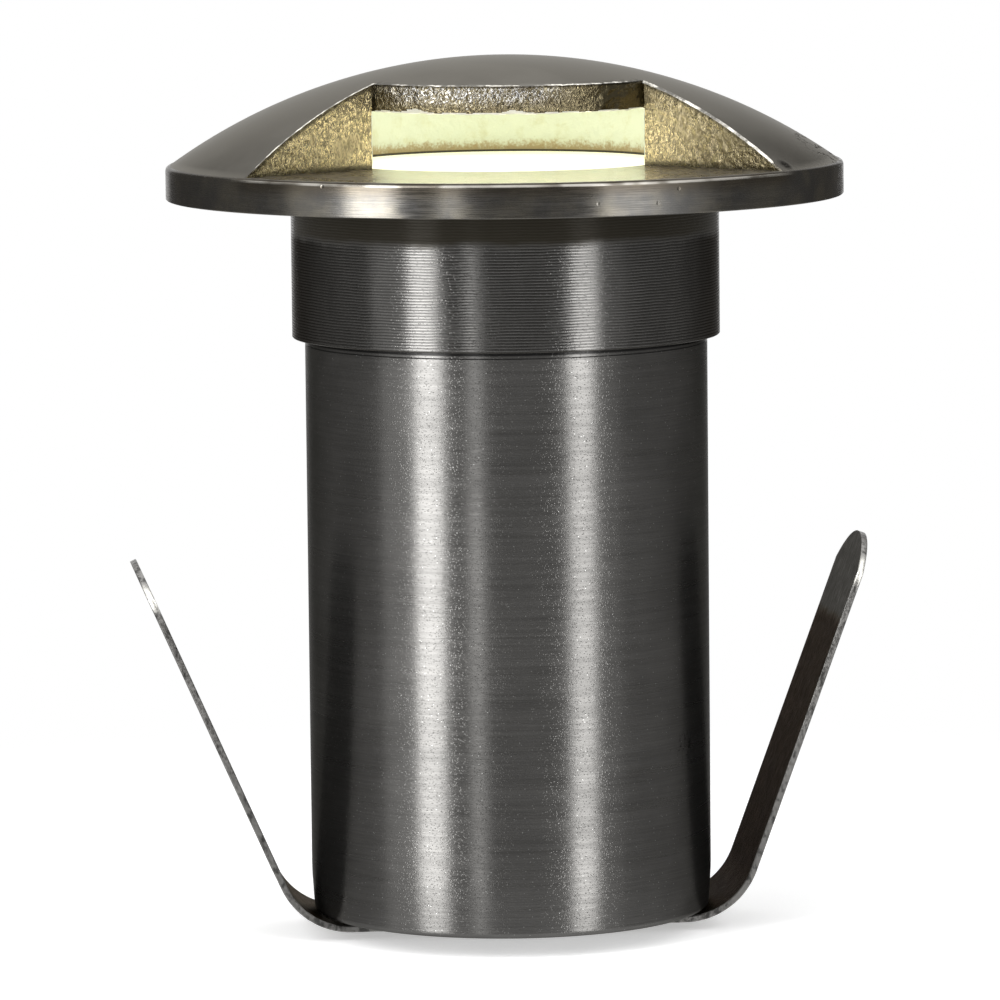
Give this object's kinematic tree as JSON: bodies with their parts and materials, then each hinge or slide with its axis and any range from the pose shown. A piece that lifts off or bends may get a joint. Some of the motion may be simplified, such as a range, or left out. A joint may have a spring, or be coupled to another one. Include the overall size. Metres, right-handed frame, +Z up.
{
  "type": "in-ground well light",
  "caption": "Recessed round well light with a domed cap open on one side, a steel tube housing and a spring clip that grips the hole.",
  "frame": {"origin": "centre of the flange's underside, level with the deck that it rests on", "axes": "+Z up along the housing's axis, out of the ground; -Y the way that the light window faces; +X to its right seen from the front"},
  "size_m": [0.0702, 0.064, 0.0831],
  "materials": {
    "cap_steel": "turned and satin, with rough cast window walls",
    "tube_steel": "brushed round the tube",
    "base_steel": "turned",
    "spring_steel": "dark tempered strip with bright edges",
    "lens_glass": "clear toughened",
    "black_rubber": "matt",
    "pale_silicone": "matt",
    "bushing_brass": "turned, dulled",
    "nut_steel": "bright",
    "reflector_bright": "mirror coated",
    "holder_white": "moulded",
    "phosphor_yellow": "silicone over the emitters",
    "chip_ceramic": "fired",
    "board_white": "white mask over metal",
    "screw_steel": "bright",
    "pad_grey": "matt",
    "sink_aluminium": "milled",
    "board_green": "solder mask",
    "ferrite": "sintered",
    "capacitor_sleeve": "shrunk sleeve",
    "chip_black": "moulded",
    "wire_red": "smooth insulation",
    "wire_black": "smooth insulation",
    "potting_resin": "cast"
  },
  "bodies": {
    "housing": {"body_tube": "tube_steel", "base_plate": "base_steel", "base_washer": "black_rubber", "clip_bridge": "spring_steel", "cable_bushing": "bushing_brass", "bushing_o_ring": "black_rubber", "cable_seal": "black_rubber", "lock_nut": "nut_steel", "glass_gasket_lower": "pale_silicone", "reflector": "reflector_bright", "reflector_holder": "holder_white", "led_phosphor": "phosphor_yellow", "led_chip": "chip_ceramic", "led_board": "board_white", "board_screws": "screw_steel", "thermal_pad": "pad_grey", "heat_sink": "sink_aluminium", "driver_board": "board_green", "driver_inductor": "ferrite", "driver_capacitors": "capacitor_sleeve", "driver_chip": "chip_black", "driver_diodes": "chip_black", "lead_red": "wire_red", "lead_black": "wire_black", "potting_plug": "potting_resin"},
    "glazing": {"glass_lens": "lens_glass", "glass_gasket_upper": "black_rubber"},
    "cap": {"dome_cap": "cap_steel", "skirt_seal": "black_rubber"},
    "left_arm": {"clip_arm_left": "spring_steel"},
    "right_arm": {"clip_arm_right": "spring_steel"}
  },
  "joints": [
    {"name": "cap_rise", "type": "slide", "parent": "housing", "child": "glazing", "axis": [0, 0, 1], "range_m": [0, 0.0106]},
    {"name": "cap_turn", "type": "hinge", "parent": "glazing", "child": "cap", "pos_m": [0, 0, 0], "axis": [0, 0, 1], "range_deg": [0, 2520]},
    {"name": "left_arm_flex", "type": "hinge", "parent": "housing", "child": "left_arm", "pos_m": [-0.01987, -0.00132, -0.06753], "axis": [-0.0663, 0.9978, 0], "range_deg": [0, 25.4], "stiffness_Nm_per_rad": 2.9},
    {"name": "right_arm_flex", "type": "hinge", "parent": "housing", "child": "right_arm", "pos_m": [0.01987, 0.00132, -0.06753], "axis": [0.0663, -0.9978, 0], "range_deg": [0, 22.3], "stiffness_Nm_per_rad": 2.9}
  ],
  "couplings": [
    {"joint": "cap_rise", "follows": "cap_turn", "m_per_rad": 0.00023873}
  ]
}
